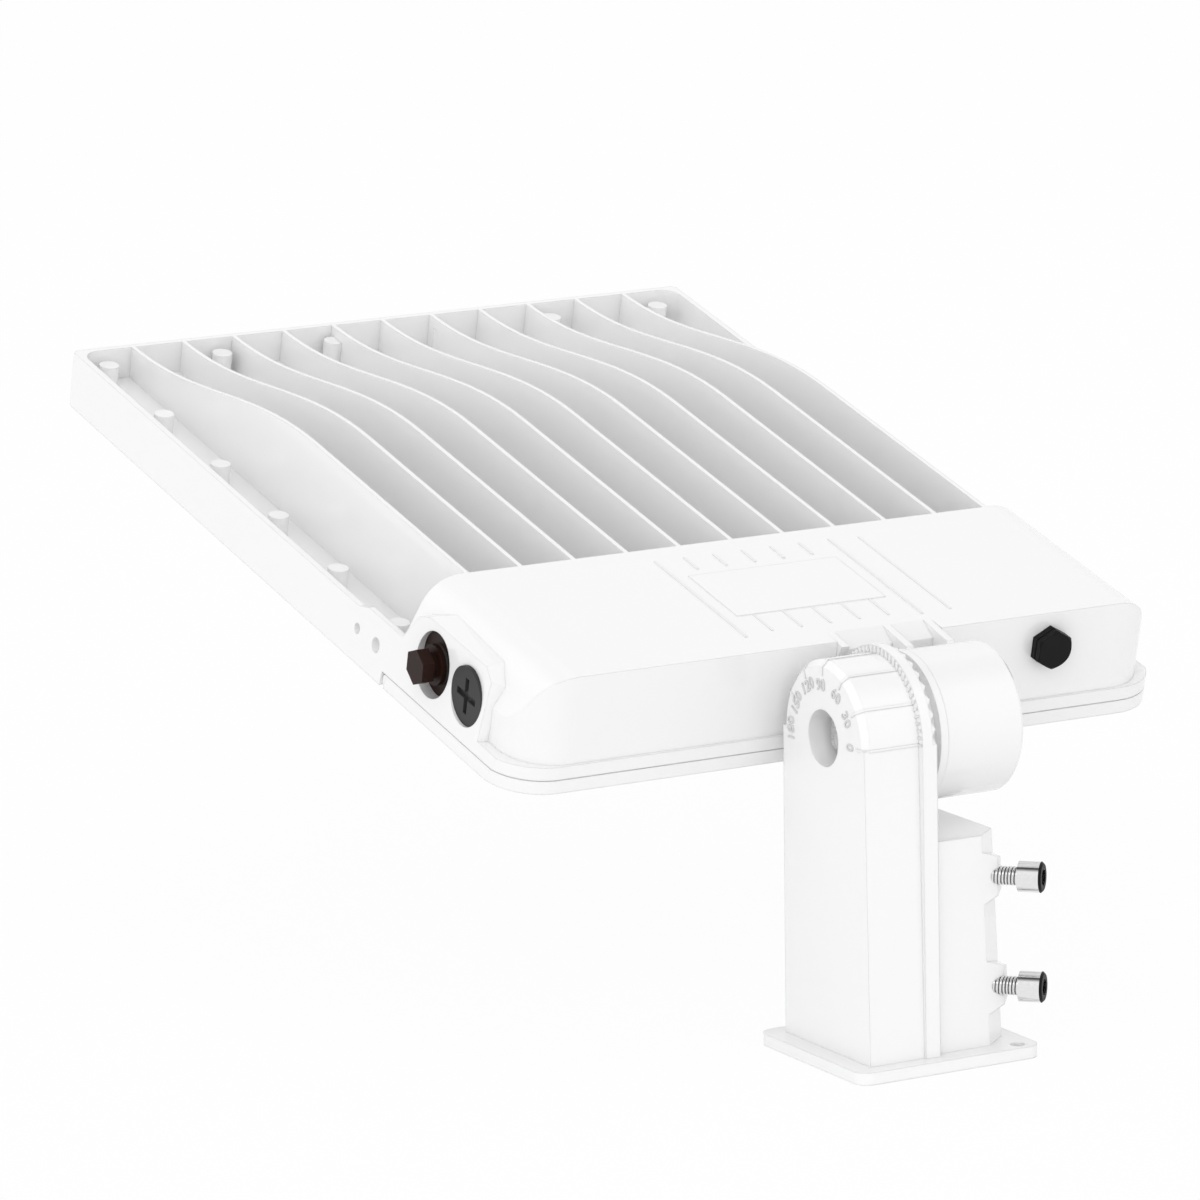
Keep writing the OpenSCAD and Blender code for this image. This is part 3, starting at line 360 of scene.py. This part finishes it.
# %% Screw threads
def thread_tree():
    tree = bpy.data.node_groups.new("screw_thread", "GeometryNodeTree")
    face = tree.interface
    sizes = {}
    for name, kind in (("Length", "NodeSocketFloat"), ("Radius", "NodeSocketFloat"),
                       ("Ridge", "NodeSocketFloat"), ("Turns", "NodeSocketFloat"),
                       ("Finish", "NodeSocketMaterial")):
        sizes[name] = face.new_socket(name, in_out="INPUT", socket_type=kind).identifier
    face.new_socket("Geometry", in_out="OUTPUT", socket_type="NodeSocketGeometry")
    group_in = tree.nodes.new("NodeGroupInput")
    group_out = tree.nodes.new("NodeGroupOutput")
    spiral = tree.nodes.new("GeometryNodeCurveSpiral")
    profile = tree.nodes.new("GeometryNodeCurvePrimitiveCircle")
    sweep = tree.nodes.new("GeometryNodeCurveToMesh")
    realize = tree.nodes.new("GeometryNodeRealizeInstances")
    paint = tree.nodes.new("GeometryNodeSetMaterial")
    spiral.inputs["Resolution"].default_value = 20
    profile.inputs["Resolution"].default_value = 4
    sweep.inputs["Fill Caps"].default_value = True
    join = tree.links.new
    join(group_in.outputs["Turns"], spiral.inputs["Rotations"])
    join(group_in.outputs["Radius"], spiral.inputs["Start Radius"])
    join(group_in.outputs["Radius"], spiral.inputs["End Radius"])
    join(group_in.outputs["Length"], spiral.inputs["Height"])
    join(group_in.outputs["Ridge"], profile.inputs["Radius"])
    join(spiral.outputs["Curve"], sweep.inputs["Curve"])
    join(profile.outputs["Curve"], sweep.inputs["Profile Curve"])
    join(sweep.outputs["Mesh"], realize.inputs["Geometry"])
    join(realize.outputs["Geometry"], paint.inputs["Geometry"])
    join(group_in.outputs["Finish"], paint.inputs["Material"])
    join(paint.outputs["Geometry"], group_out.inputs["Geometry"])
    return tree, sizes


thread, thread_sizes = thread_tree()


def grown(name, tree, sizes, values):
    empty = bpy.data.meshes.new(name)
    holder = bpy.data.objects.new(name, empty)
    bpy.context.scene.collection.objects.link(holder)
    modifier = holder.modifiers.new("grow", "NODES")
    modifier.node_group = tree
    for key, value in values.items():
        modifier[sizes[key]] = value
    return plain_mesh(holder)


screw_names = ("rear_upper", "rear_lower", "front_upper", "front_lower")
TIP, HEAD, END = 31.6 * MM, 55.7 * MM, 66.7 * MM


def screw_place(name, reach):
    way = Vector([j for j in frame["joints"] if j["name"] == f"tenon_screw_{name}_turn_in"][0]["axis"])
    low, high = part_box(f"tenon_screw_{name}")
    start = way * reach + Vector((0, 0, (low.z + high.z) / 2))
    return Matrix.Translation(start) @ Matrix.Rotation(math.atan2(way.y, way.x), 4, "Z")


PITCH, SPIRAL_R, RIDGE, END_GAP = 1.5 * MM, 3.8 * MM, 0.7 * MM, 0.4 * MM
for name in screw_names:
    length = HEAD - TIP - 2 * END_GAP
    mesh = grown(name, thread, thread_sizes, {"Length": length, "Radius": SPIRAL_R, "Ridge": RIDGE,
                                              "Turns": length / PITCH, "Finish": steel})
    along = screw_place(name, TIP + END_GAP) @ Matrix.Rotation(math.pi / 2, 4, "Y")
    piece(f"thread_{name}", mesh, along, f"tenon_screw_{name}_body", steel)
print("threads on four screws, turns each:", round(length / PITCH, 1))

# %% [markdown]
# The outer end of each socket head gets a black ring, a painted dark reflection on the chrome, and a thin dark
# sleeve on the core between the ridges is painted shade in the valleys of the thread. Both are thin rings of
# revolution, so a small lathe makes them from an outline in X and radius.

# %% Painted dark reflections on the screw ends and painted shade in the thread valleys
def lathe(name, outline, steps=48):
    points, faces = [], []
    for k in range(steps):
        a = 2 * math.pi * k / steps
        points += [(x * MM, r * MM * math.cos(a), r * MM * math.sin(a)) for x, r in outline]
    n = len(outline)
    for k in range(steps):
        here, after = k * n, (k + 1) % steps * n
        for i in range(n):
            j = (i + 1) % n
            faces.append((here + i, after + i, after + j, here + j))
    mesh = bpy.data.meshes.new(name)
    mesh.from_pydata(points, [], faces)
    return mesh


# The sleeve on the thread core is painted shade in the valleys; the second number is its margin in
# millimetres.
CORE, SHADE_SLEEVE_MARGIN = 4.0, 0.03
low, high = SHADE_SLEEVE_MARGIN, (HEAD - TIP) / MM - SHADE_SLEEVE_MARGIN
# The black ring on the chromed end face and chamfer is a painted dark reflection.
reflection_ring_outline = [(-1.1, 6.9), (-1.1, 7.03), (-0.95, 7.03), (0.02, 6.06), (0.02, 3.7), (-0.5, 3.7)]
core_outline = [(low, CORE - SHADE_SLEEVE_MARGIN), (low, CORE + SHADE_SLEEVE_MARGIN), (high, CORE + SHADE_SLEEVE_MARGIN), (high, CORE - SHADE_SLEEVE_MARGIN)]
for name in screw_names:
    body = f"tenon_screw_{name}_body"
    ring = lathe(f"dark_reflection_ring_{name}", reflection_ring_outline)
    piece(f"dark_reflection_ring_{name}", ring, screw_place(name, END), body, black_nylon)
    sleeve = lathe(f"valley_shade_sleeve_{name}", core_outline)
    piece(f"valley_shade_sleeve_{name}", sleeve, screw_place(name, TIP), body, shaded)
print("blackened ends and oiled valleys:", 2 * len(screw_names))

# %% [markdown]
# The top of the driver box carries a low raised frame: a bare plate between two long ribs, with a row of
# short ribs before it and behind it. A row of bars repeats at an even step, so one tree with a count, a
# step and the sizes of a bar makes every row.

# %% Raised ribs on the driver box
def rib_tree():
    tree = bpy.data.node_groups.new("raised_ribs", "GeometryNodeTree")
    face = tree.interface
    sizes = {}
    for name, kind in (("Count", "NodeSocketInt"), ("Step", "NodeSocketVector"), ("Bar", "NodeSocketVector"),
                       ("Finish", "NodeSocketMaterial")):
        sizes[name] = face.new_socket(name, in_out="INPUT", socket_type=kind).identifier
    face.new_socket("Geometry", in_out="OUTPUT", socket_type="NodeSocketGeometry")
    group_in = tree.nodes.new("NodeGroupInput")
    group_out = tree.nodes.new("NodeGroupOutput")
    row = tree.nodes.new("GeometryNodeMeshLine")
    bar = tree.nodes.new("GeometryNodeMeshCube")
    copies = tree.nodes.new("GeometryNodeInstanceOnPoints")
    realize = tree.nodes.new("GeometryNodeRealizeInstances")
    paint = tree.nodes.new("GeometryNodeSetMaterial")
    join = tree.links.new
    join(group_in.outputs["Count"], row.inputs["Count"])
    join(group_in.outputs["Step"], row.inputs["Offset"])
    join(group_in.outputs["Bar"], bar.inputs["Size"])
    join(row.outputs["Mesh"], copies.inputs["Points"])
    join(bar.outputs["Mesh"], copies.inputs["Instance"])
    join(copies.outputs["Instances"], realize.inputs["Geometry"])
    join(realize.outputs["Geometry"], paint.inputs["Geometry"])
    join(group_in.outputs["Finish"], paint.inputs["Material"])
    join(paint.outputs["Geometry"], group_out.inputs["Geometry"])
    return tree, sizes


ribs, rib_sizes = rib_tree()
box_top = 25 * MM
RIB_WIDTH = 1.1
rib_rows = [
    ("long", 2, -47.5, 92.0, (142, 57), 0.5),
    ("front", 5, -32.2, 15.2, (142, 129), 0.5),
    ("rear", 5, -32.2, 15.2, (78, 60), 0.35),
    ("crease", 1, 60.0, 0.0, (141, 58), 0.25),
]
for name, count, first_x, step, (front_y, rear_y), rise in rib_rows:
    mesh = grown(f"box_ribs_{name}", ribs, rib_sizes,
                 {"Count": count, "Step": (step * MM, 0.0, 0.0), "Finish": head_coat,
                  "Bar": (RIB_WIDTH * MM, (front_y - rear_y) * MM, 2 * rise * MM)})
    place = head_place @ Matrix.Translation((first_x * MM, (front_y + rear_y) / 2 * MM, box_top))
    piece(f"box_ribs_{name}", mesh, place, "head", head_coat)
PLATE = (78 * MM, 45.5 * MM, 0.9 * MM)
PLATE_MIDDLE = (-1.5 * MM, 100.7 * MM, box_top)
mesh = grown("box_plate", ribs, rib_sizes,
             {"Count": 1, "Step": (0.0, 0.0, 0.0), "Finish": head_coat, "Bar": PLATE})
piece("box_plate", mesh, head_place @ Matrix.Translation(PLATE_MIDDLE), "head", head_coat)
print("rows of ribs on the box:", len(rib_rows))

# %% [markdown]
# The scene is a pale floor under even white light, as in a catalogue picture. The floor and the world
# answer camera, mirror and glass rays with plain white, and light everything else gently. Mirrors see a
# dark ceiling overhead, which gives the screws the dark edge of a studio reflection. The sky is weighed by
# direction, so that a little more light comes from the left and from behind the camera.

# %% Floor, world and lamps
def white_where_seen(tree, light, seen, share):
    path = tree.nodes.new("ShaderNodeLightPath")
    highest = tree.nodes.new("ShaderNodeMath")
    highest.operation = "MAXIMUM"
    either = tree.nodes.new("ShaderNodeMath")
    either.operation = "MAXIMUM"
    tree.links.new(path.outputs["Is Camera Ray"], highest.inputs[0])
    tree.links.new(path.outputs["Is Glossy Ray"], highest.inputs[1])
    tree.links.new(highest.outputs[0], either.inputs[0])
    tree.links.new(path.outputs["Is Transmission Ray"], either.inputs[1])
    scaled = tree.nodes.new("ShaderNodeMath")
    scaled.operation = "MULTIPLY"
    tree.links.new(either.outputs[0], scaled.inputs[0])
    scaled.inputs[1].default_value = share
    mix = tree.nodes.new("ShaderNodeMixShader")
    tree.links.new(scaled.outputs[0], mix.inputs[0])
    tree.links.new(light.outputs[0], mix.inputs[1])
    tree.links.new(seen.outputs[0], mix.inputs[2])
    return mix


def weighed(tree, value, weight, onto):
    sum_node = tree.nodes.new("ShaderNodeMath")
    sum_node.operation = "MULTIPLY_ADD"
    tree.links.new(value, sum_node.inputs[0])
    sum_node.inputs[1].default_value = weight
    tree.links.new(onto, sum_node.inputs[2])
    return sum_node.outputs[0]


SKY_LOW, SKY_HIGH = 1.24, 0.78
TOWARDS_RIGHT, RIGHT_HALF, TOWARDS_NOSE = -0.09, -0.24, -0.17
CEILING_STARTS, CEILING_FULL, CEILING_DARK = 0.74, 0.93, -0.92
world = bpy.data.worlds.new("studio")
bpy.context.scene.world = world
world.use_nodes = True
sky = world.node_tree
sky.nodes.clear()
soft = sky.nodes.new("ShaderNodeBackground")
way = sky.nodes.new("ShaderNodeTexCoord")
direction = sky.nodes.new("ShaderNodeSeparateXYZ")
fade = sky.nodes.new("ShaderNodeMapRange")
fade.inputs["To Min"].default_value = SKY_LOW
fade.inputs["To Max"].default_value = SKY_HIGH
sky.links.new(way.outputs["Generated"], direction.inputs[0])
sky.links.new(direction.outputs["Z"], fade.inputs["Value"])
right_half = sky.nodes.new("ShaderNodeMath")
right_half.operation = "MAXIMUM"
sky.links.new(direction.outputs["X"], right_half.inputs[0])
right_half.inputs[1].default_value = 0.0
strength = weighed(sky, direction.outputs["X"], TOWARDS_RIGHT, fade.outputs[0])
strength = weighed(sky, right_half.outputs[0], RIGHT_HALF, strength)
strength = weighed(sky, direction.outputs["Y"], TOWARDS_NOSE, strength)
sky.links.new(strength, soft.inputs["Strength"])
plain = sky.nodes.new("ShaderNodeBackground")
path = sky.nodes.new("ShaderNodeLightPath")
overhead = sky.nodes.new("ShaderNodeMapRange")
overhead.inputs["From Min"].default_value = CEILING_STARTS
overhead.inputs["From Max"].default_value = CEILING_FULL
overhead.inputs["To Min"].default_value = 0.0
overhead.inputs["To Max"].default_value = CEILING_DARK
sky.links.new(direction.outputs["Z"], overhead.inputs["Value"])
mirrored = sky.nodes.new("ShaderNodeMath")
mirrored.operation = "MULTIPLY_ADD"
sky.links.new(path.outputs["Is Glossy Ray"], mirrored.inputs[0])
sky.links.new(overhead.outputs[0], mirrored.inputs[1])
mirrored.inputs[2].default_value = 1.0
sky.links.new(mirrored.outputs[0], plain.inputs["Strength"])
for ground in (soft, plain):
    ground.inputs["Color"].default_value = (1, 1, 1, 1)
end = sky.nodes.new("ShaderNodeOutputWorld")
sky.links.new(white_where_seen(sky, soft, plain, 1.0).outputs[0], end.inputs["Surface"])

REACH = 30
FLOOR_GLOW = 0.95
floor_mesh = bpy.data.meshes.new("floor")
floor_mesh.from_pydata([(-REACH, -REACH, 0), (REACH, -REACH, 0), (REACH, REACH, 0), (-REACH, REACH, 0)], [],
                       [(0, 1, 2, 3)])
floor = bpy.data.objects.new("floor", floor_mesh)
bpy.context.scene.collection.objects.link(floor)
pale = bpy.data.materials.new("pale_floor")
pale.use_nodes = True
ground = pale.node_tree
ground.nodes.clear()
matt = ground.nodes.new("ShaderNodeBsdfDiffuse")
matt.inputs["Color"].default_value = (0.9, 0.9, 0.9, 1)
glow = ground.nodes.new("ShaderNodeEmission")
end = ground.nodes.new("ShaderNodeOutputMaterial")
ground.links.new(white_where_seen(ground, matt, glow, FLOOR_GLOW).outputs[0], end.inputs["Surface"])
floor_mesh.materials.append(pale)


def lamp(name, place, target, size, power):
    data = bpy.data.lights.new(name, "AREA")
    data.shape, data.size, data.energy = "DISK", size, power
    made = bpy.data.objects.new(name, data)
    look = (Vector(target) - Vector(place)).to_track_quat("-Z", "Y").to_matrix().to_4x4()
    made.matrix_world = Matrix.Translation(place) @ look
    bpy.context.scene.collection.objects.link(made)


lamp("key", (-2.2, -2.6, 2.6), (0, 0.2, 0.15), 1.6, 14)
lamp("over", (0.3, 0.6, 2.8), (0, 0.25, 0.1), 2.0, 6)
print("world, floor and two lamps")

# %% [markdown]
# The view transform stays plain, so a colour shows as it is written.

# %% View transform
bpy.context.scene.view_settings.view_transform = "Standard"
bpy.context.view_layer.update()
